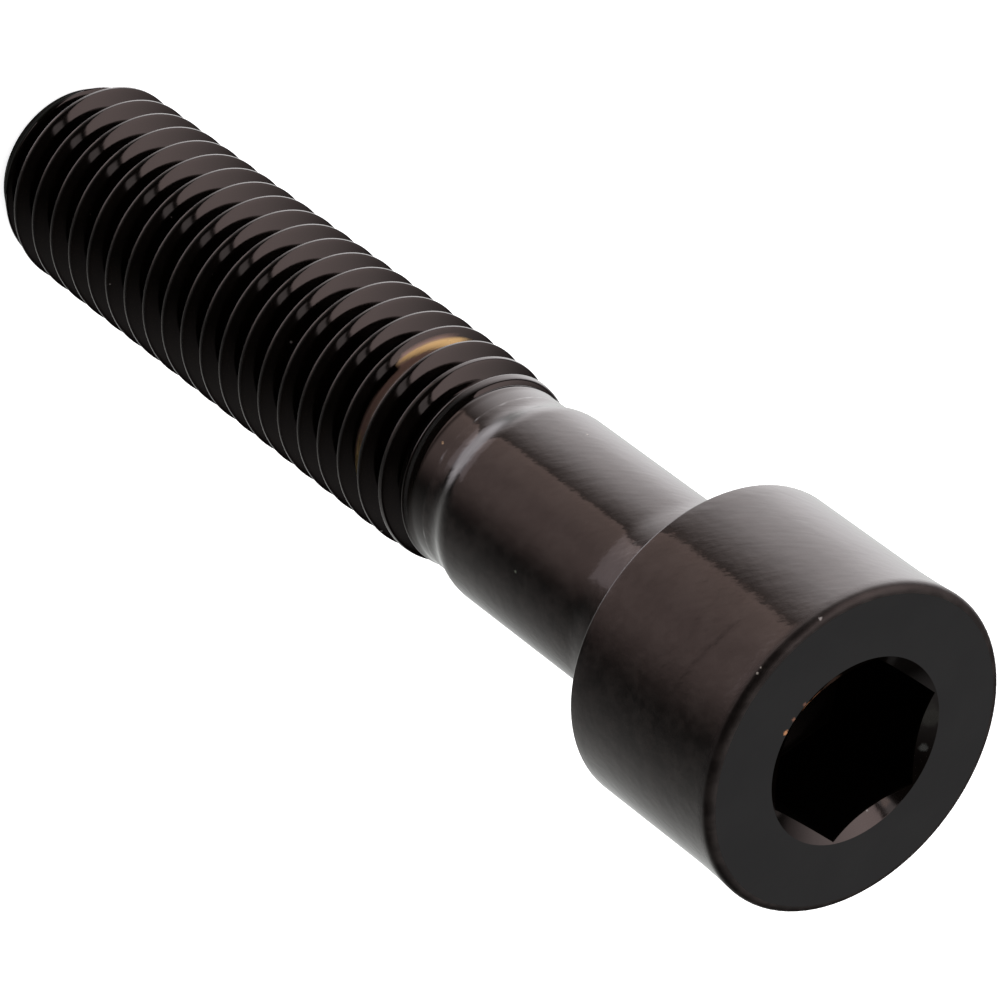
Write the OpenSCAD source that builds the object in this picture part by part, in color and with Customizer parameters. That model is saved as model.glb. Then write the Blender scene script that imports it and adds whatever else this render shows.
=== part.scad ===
// Socket head cap screw, M8 x 40 with a coarse right-hand thread.
// One forged piece with a pressed hexagon socket and a rolled thread, in millimetres.
// It stands on its thread end: the origin is the centre of that end and +Z runs up to the head.

/* [Head] */
// Diameter of the straight part of the head
head_d = 12.24; // [11:0.02:15]
// Height of the head above its bearing face
head_h = 7.8; // [7:0.1:12]
// How far the rim stands out where the socket was pressed in
rim_swell = 0.1; // [0.03:0.01:0.4]
// Height of the swollen band below the top face
rim_h = 2.7; // [1.2:0.1:4.5]
// Rounding of the edge round the top face
top_edge_r = 0.32; // [0.1:0.02:0.8]
// Rounding of the edge round the bearing face
seat_edge_r = 0.12; // [0.04:0.02:0.4]

/* [Socket] */
// Width of the hexagon across its flats
socket_af = 6.08; // [4:0.02:6.6]
// Depth of the straight hexagon
socket_depth = 4.6; // [3:0.1:5.6]
// How far the countersunk mouth reaches beyond the hexagon's corners
mouth_margin = 0.05; // [0.02:0.01:0.8]
// Included angle of the countersunk mouth
mouth_angle = 120; // [80:5:140]
// Included angle of the conical floor
floor_angle = 130; // [110:5:160]
// Width of the flat ledge between the hexagon's flats and the conical floor
floor_ledge = 0.15; // [0.05:0.05:0.5]

/* [Shank] */
// Length from the bearing face of the head to the thread end
screw_length = 40; // [33:0.5:60]
// Diameter of the plain shank
shank_d = 7.74; // [7.5:0.02:9]
// Length of the flare between the plain shank and the head
flare_h = 3; // [1:0.1:3.1]
// Slope of the flare against the axis
flare_angle = 9; // [4:1:14]
// Rounding between the flare and the bearing face
fillet_r = 0.2; // [0.1:0.05:0.5]
// Diameter where the shank's shoulder meets the thread
neck_d = 7.14; // [6.8:0.02:7.4]
// Slope of the shoulder against the axis
shoulder_angle = 18; // [10:1:35]
// Hollow rounding between the neck and the shoulder
hollow_r = 3.2; // [0.5:0.1:5]
// Rounding between the shoulder and the shank
shoulder_r = 2.4; // [0.5:0.1:5]

/* [Thread] */
// Diameter over the thread's crests
thread_d = 7.92; // [7.7:0.02:8.6]
// Length from the thread end to the foot of the shoulder
thread_length = 28; // [16:0.2:34]
// Distance from one crest to the next
pitch = 1.25; // [1.2:0.05:2]
// Depth from crest to root
thread_depth = 0.767; // [0.5:0.01:0.8]
// Width of the flat on the crests
crest_flat = 0.156; // [0.05:0.01:0.2]
// Angle between the two flanks of a groove
flank_angle = 60; // [50:1:64]
// Diameter of the flat thread end
tip_d = 6.36; // [5:0.02:6.6]
// Slope of the chamfer round the thread end against the axis
tip_angle = 28; // [20:1:60]
// How much lower the crest is at the thread end
tip_drop = 0.07; // [0.01:0.01:0.2]
// Length over which the crest rises from the thread end
tip_rise = 3.4; // [1:0.2:8]
// Length over which the crest sinks to the neck
crest_fade = 3.7; // [1:0.1:8]
// Length over which the groove runs out at the neck
groove_fade = 2; // [0.6:0.2:6]
// Angle about the axis at which a crest meets the end plane
thread_turn = 140; // [0:1:360]

/* [Hidden] */

finish = [0.16, 0.145, 0.14];
$fn = 96;

// Facets round the thread, and steps in each rounded stretch of the outline
columns = 40;
arc_steps = 6;
// How far the thread's core reaches into the neck, and the least step between the two
core_lap = 0.4;
core_step = 0.03;
// How far a cutter stands clear of the face it enters
clear = 1;

head_r = head_d / 2;
rim_r = head_r + rim_swell;
shank_r = shank_d / 2;
neck_r = neck_d / 2;
core_r = neck_r - core_step;
thread_r = thread_d / 2;
root_r = thread_r - thread_depth;
tip_r = tip_d / 2;
seat_z = screw_length;
top_z = screw_length + head_h;
core_top = thread_length + core_lap;
// The thread runs out a third of a pitch before the shoulder
thread_stop = thread_length - pitch / 3;

// The shoulder rises from the neck in a hollow arc and rounds into the shank; its height limits both arcs
shoulder_h = shank_r - neck_r;
arc_share = 0.96;
arc_rise = 1 - cos(shoulder_angle);
arc_scale = min(1, arc_share * shoulder_h / ((hollow_r + shoulder_r) * arc_rise));
neck_arc = hollow_r * arc_scale;
shank_arc = shoulder_r * arc_scale;
shoulder_cone = (shoulder_h - (neck_arc + shank_arc) * arc_rise) / tan(shoulder_angle);
shoulder_z = thread_length + shoulder_cone + (neck_arc + shank_arc) * sin(shoulder_angle);

// The rounding under the head touches the flare and the bearing face
fillet_x = shank_r + (fillet_r + (flare_h - fillet_r) * sin(flare_angle)) / cos(flare_angle);

// The swollen band is an arc that leaves the straight head without an edge
swell_h = rim_h - top_edge_r;
swell_r = (swell_h * swell_h + rim_swell * rim_swell) / (2 * rim_swell);
swell_turn = asin(swell_h / swell_r);

// Points of a circular arc in the plane of the outline
function arc(centre, r, from, to) =
    [for (i = [0 : arc_steps]) let (a = from + (to - from) * i / arc_steps) centre + r * [cos(a), sin(a)]];

// Outline of the head, shank and shoulder as radius and height, from the neck up to the top face
function body_outline() = concat(
    [[0, thread_length]],
    arc([neck_r + neck_arc, thread_length], neck_arc, 180, 180 - shoulder_angle),
    arc([shank_r - shank_arc, shoulder_z], shank_arc, -shoulder_angle, 0),
    [[shank_r, seat_z - flare_h]],
    arc([fillet_x, seat_z - fillet_r], fillet_r, 180 - flare_angle, 90),
    arc([head_r - seat_edge_r, seat_z + seat_edge_r], seat_edge_r, -90, 0),
    arc([head_r + swell_r, top_z - rim_h], swell_r, 180, 180 - swell_turn),
    arc([rim_r - top_edge_r, top_z - top_edge_r], top_edge_r, 0, 90),
    [[0, top_z]]
);

// One pitch of the thread as height above the crest's middle and depth below the crest.
// The root is rounded: the flanks stop short of it and its middle lies deepest.
flank_run = tan(flank_angle / 2);
groove_half = (pitch - crest_flat) / 2;
root_gap = groove_half - thread_depth * flank_run;
root_round = root_gap / (1 / cos(flank_angle / 2) - flank_run);
root_half = root_round * cos(flank_angle / 2);
root_side = (groove_half - root_half) / flank_run;
pitch_outline = [
    [-crest_flat / 2, 0],
    [crest_flat / 2, 0],
    [pitch / 2 - root_half, root_side],
    [pitch / 2, thread_depth],
    [pitch / 2 + root_half, root_side]
];
rows_per_turn = len(pitch_outline);
spare_turns = 2;
turns = ceil(core_top / pitch) + 2 * spare_turns;
rows = turns * rows_per_turn;

// Share of a fade that is still to go at a distance from its start: 1 there and 0 at its end
function fade(distance, span) = pow(1 - min(1, max(0, distance) / span), 2);

// The largest radius at a height: chamfer and low first turns at the end, sinking crests at the neck
function outer_limit(z) = min(
    tip_r + z * tan(tip_angle),
    thread_r - tip_drop * fade(z, tip_rise),
    thread_r - (thread_r - core_r) * fade(thread_stop - z, crest_fade)
);

// The smallest radius at a height: the root, rising to the neck where the groove runs out
function inner_limit(z) = root_r + (core_r - root_r) * fade(thread_stop - z, groove_fade);

// Radius of the thread's surface at a height; beyond either end it is that of the end ring
function thread_radius(z, depth) =
    z <= 0 ? tip_r
    : z >= core_top ? core_r
    : min(outer_limit(z), max(inner_limit(z), thread_r - depth));

// A point of the thread's surface: a row climbs one pitch in a turn and stops at the two end rings
function thread_point(row, column) =
    let (
        place = pitch_outline[row % rows_per_turn],
        turn = floor(row / rows_per_turn) - spare_turns + column / columns - thread_turn / 360,
        z = min(core_top, max(0, turn * pitch + place[0])),
        r = thread_radius(z, place[1]),
        angle = 360 * column / columns
    )
    [r * cos(angle), r * sin(angle), z];

// Index of a point; the column after the last is the first one, a turn higher
function at(row, column) =
    column < columns ? row * columns + column : (row + rows_per_turn) * columns + column - columns;

// Whether a triangle has three different corners
function is_open(points, face) =
    points[face[0]] != points[face[1]]
    && points[face[1]] != points[face[2]]
    && points[face[2]] != points[face[0]];

module thread() {
    points = [for (row = [0 : rows - 1]) for (column = [0 : columns - 1]) thread_point(row, column)];
    last = rows - rows_per_turn - 1;
    sides = [
        for (row = [0 : last - 1])
            for (column = [0 : columns - 1])
                for (face = [
                    [at(row, column), at(row + 1, column), at(row + 1, column + 1)],
                    [at(row, column), at(row + 1, column + 1), at(row, column + 1)]
                ])
                    if (is_open(points, face)) face
    ];
    end_face = [for (column = [0 : columns - 1]) at(0, column)];
    core_face = [for (column = [columns - 1 : -1 : 0]) at(last, column)];
    polyhedron(points, concat(sides, [end_face, core_face]), convexity = 10);
}

module socket() {
    hex_r = socket_af / 2 / cos(30);
    mouth_r = hex_r + mouth_margin;
    floor_r = socket_af / 2 - floor_ledge;
    floor_h = floor_r / tan(floor_angle / 2);
    mouth_h = mouth_r / tan(mouth_angle / 2);
    mouth_clear = clear * tan(mouth_angle / 2);
    translate([0, 0, top_z - socket_depth]) {
        cylinder(r = hex_r, h = socket_depth + clear, $fn = 6);
        translate([0, 0, -floor_h])
            cylinder(r1 = 0, r2 = floor_r, h = floor_h);
    }
    translate([0, 0, top_z - mouth_h])
        cylinder(r1 = 0, r2 = mouth_r + mouth_clear, h = mouth_h + clear);
}

module cap_screw() {
    color(finish)
        difference() {
            union() {
                rotate_extrude()
                    polygon(body_outline());
                thread();
            }
            socket();
        }
}

cap_screw();
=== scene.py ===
"""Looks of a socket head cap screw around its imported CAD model.

The screw is one closed surface worked out with numpy: a rolled right-hand thread, a plain shank with
a shoulder, a cylindrical head and a pressed hexagon socket.  Sizes are written in millimetres and the
mesh is in metres, in the frame of the CAD model: the screw stands on its thread end and +Z runs up its
axis to the head.
"""

import logging
import math
from dataclasses import dataclass, field
from enum import Enum, IntEnum

import bpy
import numpy as np
from mathutils import Matrix, Vector


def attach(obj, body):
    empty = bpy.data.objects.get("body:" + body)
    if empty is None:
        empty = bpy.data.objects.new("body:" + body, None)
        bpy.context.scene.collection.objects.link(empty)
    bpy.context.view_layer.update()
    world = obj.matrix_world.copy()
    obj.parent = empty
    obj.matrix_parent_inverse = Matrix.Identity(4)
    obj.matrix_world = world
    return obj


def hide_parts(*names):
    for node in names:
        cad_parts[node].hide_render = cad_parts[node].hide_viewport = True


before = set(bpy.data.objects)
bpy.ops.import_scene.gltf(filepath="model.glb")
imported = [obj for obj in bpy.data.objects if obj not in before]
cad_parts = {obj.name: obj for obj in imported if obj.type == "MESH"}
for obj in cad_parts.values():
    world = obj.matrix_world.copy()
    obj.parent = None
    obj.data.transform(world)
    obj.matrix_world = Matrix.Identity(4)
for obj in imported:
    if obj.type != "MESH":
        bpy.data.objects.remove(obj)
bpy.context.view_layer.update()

log = logging.getLogger("cap_screw")

# One millimetre in metres
MM = 0.001
# Node and body of the CAD model that the screw stands for
CAD_NODE = "cap_screw"
BODY = "root"

# Heights above the thread end at which the parts meet, and the neck's diameter
NECK_Z = 28.0
SEAT_Z = 40.0
TOP_Z = 47.8
NECK_D = 7.14
# How far below the neck's start the thread's last ring lies
RING_LAP = 0.1

# Columns of points round the axis, a multiple of the hexagon's six corners
COLUMNS = 96
# Decimals of a millimetre to which points that fall together agree
MERGE_DECIMALS = 5
# Angle about the axis, in degrees, that faces the camera
FACING = -64.43

# Colour sockets of the Mix node: its two inputs and its result
MIX_FIRST, MIX_SECOND, MIX_RESULT = 6, 7, 2
WHITE = (1.0, 1.0, 1.0, 1.0)

Link = bpy.types.NodeSocket
Colour = tuple[float, float, float]
Place = tuple[float, float, float]
# Angles about the axis in degrees, and the value at each of them
Course = tuple[tuple[float, ...], tuple[float, ...]]


class Region(IntEnum):
    """Part of the screw's surface, and the index of its finish among the material slots."""

    TURNED = 0
    ROLLED = 1
    PRESSED = 2
    BORE = 3
    END = 4
    FACE = 5


class Trait(Enum):
    """Name of a value that is kept at each point of the mesh for the materials."""

    LAP = "lap"
    RUB = "rub"
    BARE = "bare"
    DULL = "dull"
    EDGE = "edge"


def smoothstep(low: float, high: float, value: np.ndarray) -> np.ndarray:
    """Smooth rise from 0 to 1: 3t^2 - 2t^3 of the share t of the way from low to high.

    Args:
        low: value at which the rise starts.
        high: value at which it ends; below low for a fall.
        value: where it is wanted.

    Returns:
        The rise at each value.
    """
    t = np.clip((value - low) / (high - low), 0.0, 1.0)
    return t * t * (3.0 - 2.0 * t)


def soft_min(a: np.ndarray, b: np.ndarray, width: float) -> np.ndarray:
    """Smaller of two values with the corner rounded: (a + b - sqrt((a - b)^2 + width^2)) / 2.

    Args:
        a: first values.
        b: second values.
        width: size of the rounding.

    Returns:
        The rounded smaller values.
    """
    return 0.5 * (a + b - np.sqrt((a - b) ** 2 + width * width))


def arc(centre: tuple[float, float], radius: float, start: float, stop: float, steps: int) -> np.ndarray:
    """Points of a circular arc in the outline's plane: centre + radius (cos a, sin a).

    Args:
        centre: radius and height of the arc's centre.
        radius: radius of the arc.
        start: first angle in degrees.
        stop: last angle in degrees.
        steps: number of stretches.

    Returns:
        Array of steps + 1 rows of radius and height.
    """
    angle = np.radians(np.linspace(start, stop, steps + 1))
    return np.stack([centre[0] + radius * np.cos(angle), centre[1] + radius * np.sin(angle)], axis=1)


def straight(start: tuple[float, float], stop: tuple[float, float], steps: int) -> np.ndarray:
    """Points of a straight stretch of an outline, without its two ends: start + t (stop - start).

    Args:
        start: radius and height where it starts.
        stop: radius and height where it ends.
        steps: number of stretches.

    Returns:
        Array of steps - 1 rows of radius and height.
    """
    t = np.linspace(0.0, 1.0, steps + 1)[1:-1, None]
    return np.asarray(start) + t * (np.asarray(stop) - np.asarray(start))


@dataclass
class Patch:
    """Stretch of the screw's surface as a grid of points, rows running up the outline.

    Attributes:
        radius: distance from the axis at each row and column.
        height: height above the thread end at each row and column.
        region: finish of the stretch.
        climb: rows that a row rises in one turn: 0 for rings.
        traits: wear of the coating, from 0 to 1, at each row and column.
    """

    radius: np.ndarray
    height: np.ndarray
    region: Region
    climb: int = 0
    traits: dict[Trait, np.ndarray] = field(default_factory=dict)

    def points(self, angle: np.ndarray) -> np.ndarray:
        """Grid as points: (r cos a, r sin a, z) at each column's angle a.

        Args:
            angle: angle of each column in radians.

        Returns:
            Array of rows times columns points.
        """
        x, y = self.radius * np.cos(angle), self.radius * np.sin(angle)
        return np.stack([x, y, self.height], axis=-1).reshape(-1, 3)

    def lap(self) -> np.ndarray:
        """Distance along the outline from the first row at each point: the sum of the steps (dr, dz)."""
        step = np.hypot(np.diff(self.radius, axis=0), np.diff(self.height, axis=0))
        return np.concatenate([np.zeros((1, step.shape[1])), np.cumsum(step, axis=0)]).ravel()

    def trait(self, trait: Trait) -> np.ndarray:
        """A trait at each point, 0 all over where the stretch has none.

        Args:
            trait: the trait that is wanted.

        Returns:
            Its value at each point.
        """
        if trait is Trait.LAP:
            return self.lap()
        return self.traits.get(trait, np.zeros(self.radius.shape)).ravel()

    def quads(self) -> np.ndarray:
        """Four corners of each face, as point numbers of the grid, turned outwards.

        A face joins a row with the next and a column with the next; after the last column comes the
        first one, climb rows higher.

        Returns:
            Array of faces times four.
        """
        rows, columns = self.radius.shape
        row, column = np.meshgrid(np.arange(rows - 1 - self.climb), np.arange(columns), indexing="ij")
        after = np.where(column + 1 < columns, column + 1, 0)
        shift = np.where(column + 1 < columns, 0, self.climb)
        low, high = row * columns, (row + 1) * columns
        turned = shift * columns
        corners = [low + column, low + turned + after, high + turned + after, high + column]
        return np.stack(corners, axis=-1).reshape(-1, 4)


def rings(outline: np.ndarray, region: Region) -> Patch:
    """Surface of revolution: each row of the outline carried round the axis.

    Args:
        outline: rows of radius and height.
        region: finish of the stretch.

    Returns:
        The stretch as a grid.
    """
    radius = np.repeat(outline[:, :1], COLUMNS, axis=1)
    height = np.repeat(outline[:, 1:], COLUMNS, axis=1)
    return Patch(radius, height, region)


@dataclass(frozen=True)
class Streak:
    """Band on one thread flank, on the side that faces the head, where the coating has worn.

    It is worn through near its two ends and only rubbed thin between them.  A rise is a height in
    millimetres above the crest's middle.

    Attributes:
        turn: number of the thread's turn that it lies on.
        thin: course of how much the coating is rubbed, from 0 to 1.
        worn: course of how much it is worn off, from 0 to 1.
        thin_from: course of the rise at which the rubbed band starts.
        thin_to: rise at which the rubbed band ends.
        worn_from: course of the rise at which the worn band starts.
        worn_to: course of the rise at which it ends.
        edge: width of the bands' soft edges.
        thin_edge: width of the soft edge at which the rubbed band ends.
    """

    turn: int = 19
    thin: Course = ((-132, -118, -84, -40, -26, -14), (0, 0.75, 1, 1, 0.8, 0))
    worn: Course = ((-141, -132, -89, -83, -40, -28, -14, -6), (0, 1, 1, 0, 0, 1, 1, 0))
    thin_from: Course = ((-110, -88, -83, -60, -20), (0.21, 0.17, 0.38, 0.36, 0.36))
    thin_to: float = 0.54
    worn_from: Course = ((-139, -125, -100, -84, -40, -8), (0.25, 0.26, 0.26, 0.23, 0.37, 0.38))
    worn_to: Course = ((-139, -125, -100, -84, -40, -8), (0.5, 0.42, 0.37, 0.29, 0.41, 0.43))
    edge: float = 0.03
    thin_edge: float = 0.04

    def traits(self, turn: np.ndarray, angle: np.ndarray, rise: np.ndarray) -> dict[Trait, np.ndarray]:
        """How much the coating is rubbed, and how much it is worn off, at each row and column.

        Args:
            turn: number of each row's turn.
            angle: angle of each column in radians.
            rise: height of each row above its crest's middle.

        Returns:
            The two traits.
        """
        degrees = (np.degrees(angle) + 180.0) % 360.0 - 180.0
        own = np.where(degrees < 0.0, turn + 1, turn) == self.turn
        above = rise - np.interp(degrees, *self.thin_from)
        rub = np.interp(degrees, *self.thin) * smoothstep(0.0, self.edge, above)
        rub = rub * smoothstep(self.thin_to + self.thin_edge, self.thin_to, rise)
        above = rise - np.interp(degrees, *self.worn_from)
        past = rise - np.interp(degrees, *self.worn_to)
        bare = np.interp(degrees, *self.worn) * smoothstep(0.0, self.edge, above)
        bare = bare * smoothstep(self.edge, 0.0, past)
        return {Trait.RUB: np.where(own, rub, 0.0), Trait.BARE: np.where(own, bare, 0.0)}


@dataclass
class Thread:
    """Rolled coarse thread with a chamfered end and a run-out at the neck, in millimetres and degrees.

    Attributes:
        diameter: diameter over the crests.
        length: height of the neck's start.
        pitch: distance from one crest to the next.
        depth: depth from crest to root.
        crest_flat: half the width of the flat on the crests.
        edge_depth: depth below the crest down to which its coating is paler.
        crest_round: rounding between a crest's flat and its flanks.
        root_round: rounding at the root.
        root_margin: how much deeper the root would be without that rounding.
        flank_angle: angle between the two flanks of a groove.
        tip_d: diameter of the flat thread end.
        tip_angle: slope of its chamfer against the axis.
        tip_drop: how much lower the crest is at the thread end.
        tip_rise: length over which it rises from there.
        crest_fade: length over which the crest sinks to the neck.
        run_from: distance below the thread's stop where the last crest starts to run down in a hollow.
        run_to: distance below the stop where that hollow has reached the neck.
        groove_end: height at which the groove has run out.
        groove_fade: length over which it grows shallow.
        proud: how far its floor would rise above the crest there.
        turn: angle about the axis at which a crest meets the end plane.
        neck_d: diameter of the neck.
        core_lap: how far below the neck's start the last ring lies.
        spare_turns: turns that are cut off at either end.
        corner: rounding between the limits of the radius.
        end_reach: how far below the chamfer's cone a point still belongs to it.
        rows: heights of the rows in half a pitch above the crest's middle, close together where the
            outline bends and where the streak has its edges.
        end_rows: distances of the end face's rings from its edge.
        streak: wear of one flank.
    """

    diameter: float = 7.92
    length: float = NECK_Z
    pitch: float = 1.25
    depth: float = 0.767
    crest_flat: float = 0.024
    edge_depth: float = 0.05
    crest_round: float = 0.045
    root_round: float = 0.08
    root_margin: float = 0.01
    flank_angle: float = 60.0
    tip_d: float = 6.36
    tip_angle: float = 28.0
    tip_drop: float = 0.07
    tip_rise: float = 3.4
    crest_fade: float = 3.7
    run_from: float = 0.95
    run_to: float = 0.22
    groove_end: float = 27.9
    groove_fade: float = 2.1
    proud: float = 0.2
    turn: float = 140.0
    neck_d: float = NECK_D
    core_lap: float = RING_LAP
    spare_turns: int = 2
    corner: float = 0.04
    end_reach: float = 0.03
    rows: tuple[float, ...] = (
        0.0, 0.02, 0.037, 0.05, 0.065, 0.09, 0.125, 0.17, 0.24, 0.28, 0.31, 0.34, 0.37, 0.4, 0.43, 0.48,
        0.515, 0.55, 0.587,
    )
    end_rows: tuple[float, ...] = (1.59, 0.08, 0.02, 0.0)
    streak: Streak = field(default_factory=Streak)

    @property
    def radius(self) -> float:
        """Radius over the crests."""
        return self.diameter / 2

    @property
    def core(self) -> float:
        """Radius of the core that runs into the neck."""
        return self.neck_d / 2

    @property
    def stop(self) -> float:
        """Height at which the thread has run out: a third of a pitch below the neck."""
        return self.length - self.pitch / 3

    @property
    def top(self) -> float:
        """Height of the last ring."""
        return self.length - self.core_lap

    def pitch_rows(self) -> np.ndarray:
        """Heights of the rows in one pitch above the crest's middle: half a pitch and its mirror."""
        half = np.array(self.rows)
        return np.concatenate([half, [self.pitch / 2], self.pitch - half[:0:-1]])

    def groove(self, offset: np.ndarray) -> np.ndarray:
        """Depth below the crest at a height above the crest's middle.

        The crest has a narrow flat, and a hyperbola runs from it into each flank: the slope times
        (sqrt(beyond^2 + round^2) - round), where beyond is the distance from the flat.  The root is
        rounded by the soft smaller of that and the full depth.

        Args:
            offset: height above the crest's middle.

        Returns:
            The depth.
        """
        beyond = np.maximum(np.minimum(offset, self.pitch - offset) - self.crest_flat, 0.0)
        slope = 1.0 / math.tan(math.radians(self.flank_angle / 2))
        flank = slope * (np.hypot(beyond, self.crest_round) - self.crest_round)
        return soft_min(flank, np.full_like(flank, self.depth + self.root_margin), self.root_round)

    def fade(self, distance: np.ndarray, span: float) -> np.ndarray:
        """Share of a fade still to go at a distance from its start: (1 - distance / span)^2."""
        return (1.0 - np.clip(distance / span, 0.0, 1.0)) ** 2

    def outer(self, height: np.ndarray) -> np.ndarray:
        """Largest radius at a height: the chamfer, the low first turns and the crests' fall to the neck.

        Args:
            height: height above the thread end.

        Returns:
            The radius.
        """
        chamfer = self.tip_d / 2 + height * math.tan(math.radians(self.tip_angle))
        low = self.radius - self.tip_drop * self.fade(height, self.tip_rise)
        left = self.stop - height
        share = (1.0 - self.fade(left, self.crest_fade)) * smoothstep(self.run_to, self.run_from, left)
        sunk = self.core + (self.radius - self.core) * share
        return soft_min(chamfer, np.minimum(low, sunk), self.corner)

    def inner(self, height: np.ndarray) -> np.ndarray:
        """Smallest radius at a height: the root, rising above the largest one where the groove runs out.

        Args:
            height: height above the thread end.

        Returns:
            The radius.
        """
        root = self.radius - self.depth
        filled = smoothstep(self.groove_end - self.groove_fade, self.groove_end, height)
        return root + (self.outer(height) + self.proud - root) * filled

    def patch(self, angle: np.ndarray) -> Patch:
        """Thread as a helical grid: a row climbs one pitch in a turn and stops at the two end rings.

        The radius is that of the groove's outline, held between the inner and the outer limit.

        Args:
            angle: angle of each column in radians.

        Returns:
            The thread as a grid.
        """
        offset = self.pitch_rows()
        turns = math.ceil(self.top / self.pitch) + 2 * self.spare_turns
        turn = np.repeat(np.arange(turns) - self.spare_turns, len(offset))[:, None]
        rise = np.tile(offset, turns)[:, None]
        free = (turn + angle / math.tau - self.turn / 360.0) * self.pitch + rise
        height = np.clip(free, 0.0, self.top)
        depth = np.broadcast_to(self.groove(rise), height.shape)
        limit = np.maximum(self.inner(height), self.radius - depth)
        radius = soft_min(self.outer(height), limit, self.corner)
        radius = np.where(free >= self.top, self.core, radius)
        radius = np.where(free <= 0.0, self.tip_d / 2, radius)
        traits = self.streak.traits(turn, angle, rise)
        traits[Trait.EDGE] = smoothstep(self.edge_depth, 0.0, depth)
        return Patch(radius, height, Region.ROLLED, len(offset), traits)

    def on_chamfer(self, points: np.ndarray) -> np.ndarray:
        """Whether a point lies on the chamfer's cone round the thread end."""
        cone = self.tip_d / 2 + points[:, 2] * math.tan(math.radians(self.tip_angle))
        return np.hypot(points[:, 0], points[:, 1]) > cone - self.end_reach

    def end(self) -> Patch:
        """Flat thread end, from its middle out to the chamfer."""
        radius = np.array([0.0, *(self.tip_d / 2 - row for row in self.end_rows)])
        return rings(np.stack([radius, np.zeros_like(radius)], axis=1), Region.ROLLED)


@dataclass
class Shank:
    """Plain shank with a hollow shoulder down to the thread and a flare under the head.

    Attributes:
        diameter: diameter of the plain shank.
        neck_d: diameter of the neck beside the thread.
        start: height of the neck's start.
        lead: how far below it the thread's last ring lies.
        neck_h: length of the straight neck.
        stop: height of the head's bearing face.
        slope: slope of the shoulder against the axis.
        hollow_r: hollow rounding between neck and shoulder.
        shoulder_r: rounding between shoulder and shank.
        flare_h: length of the flare under the head.
        flare_angle: slope of the flare against the axis.
        bend_r: rounding where the flare starts.
        fillet_r: rounding between flare and bearing face.
        shoulder_steps: steps in each arc of the shoulder.
        plain_steps: steps along the plain shank.
        flare_steps: steps in the flare, in its bend and in the rounding under the head.
    """

    diameter: float = 7.74
    neck_d: float = NECK_D
    start: float = NECK_Z
    lead: float = RING_LAP
    neck_h: float = 0.15
    stop: float = SEAT_Z
    slope: float = 20.0
    hollow_r: float = 2.1
    shoulder_r: float = 2.0
    flare_h: float = 2.95
    flare_angle: float = 9.0
    bend_r: float = 4.5
    fillet_r: float = 0.2
    shoulder_steps: int = 10
    plain_steps: int = 12
    flare_steps: int = 6

    @property
    def foot_r(self) -> float:
        """Radius at which the rounding under the head touches the bearing face.

        Returns:
            The radius.
        """
        lean = math.radians(self.flare_angle)
        rise = self.flare_h - self.fillet_r
        return self.diameter / 2 + (self.fillet_r + rise * math.sin(lean)) / math.cos(lean)

    def outline(self) -> np.ndarray:
        """Radius and height from the thread's last ring up to the bearing face.

        A hollow arc leaves the neck, a cone of the given slope follows, and a second arc meets the
        shank; a cone flares out to the head and an arc touches the bearing face.

        Returns:
            Rows of radius and height.
        """
        neck, shank = self.neck_d / 2, self.diameter / 2
        lean = math.radians(self.slope)
        arcs = self.hollow_r + self.shoulder_r
        cone = (shank - neck - arcs * (1 - math.cos(lean))) / math.tan(lean)
        foot = self.start + self.neck_h
        top = foot + cone + arcs * math.sin(lean)
        far = 180 - self.slope
        hollow = arc((neck + self.hollow_r, foot), self.hollow_r, 180, far, self.shoulder_steps)
        rounded_at = (shank - self.shoulder_r, top)
        rounded = arc(rounded_at, self.shoulder_r, -self.slope, 0, self.shoulder_steps)
        lead = np.array([[neck, self.start - self.lead], [neck, self.start]])
        far = 180 - self.flare_angle
        fillet_at = (self.foot_r, self.stop - self.fillet_r)
        fillet = arc(fillet_at, self.fillet_r, far, 90, self.flare_steps)
        bend_z = self.stop - self.flare_h - self.bend_r * math.tan(math.radians(self.flare_angle / 2))
        bend = arc((shank + self.bend_r, bend_z), self.bend_r, 180, far, self.flare_steps)
        plain = straight((shank, top), tuple(bend[0]), self.plain_steps)
        flare = straight(tuple(bend[-1]), tuple(fillet[0]), self.flare_steps)
        return np.concatenate([lead, hollow, rounded, plain, bend, flare, fillet])

    def patch(self) -> Patch:
        """Shank as a surface of revolution."""
        return rings(self.outline(), Region.TURNED)


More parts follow.
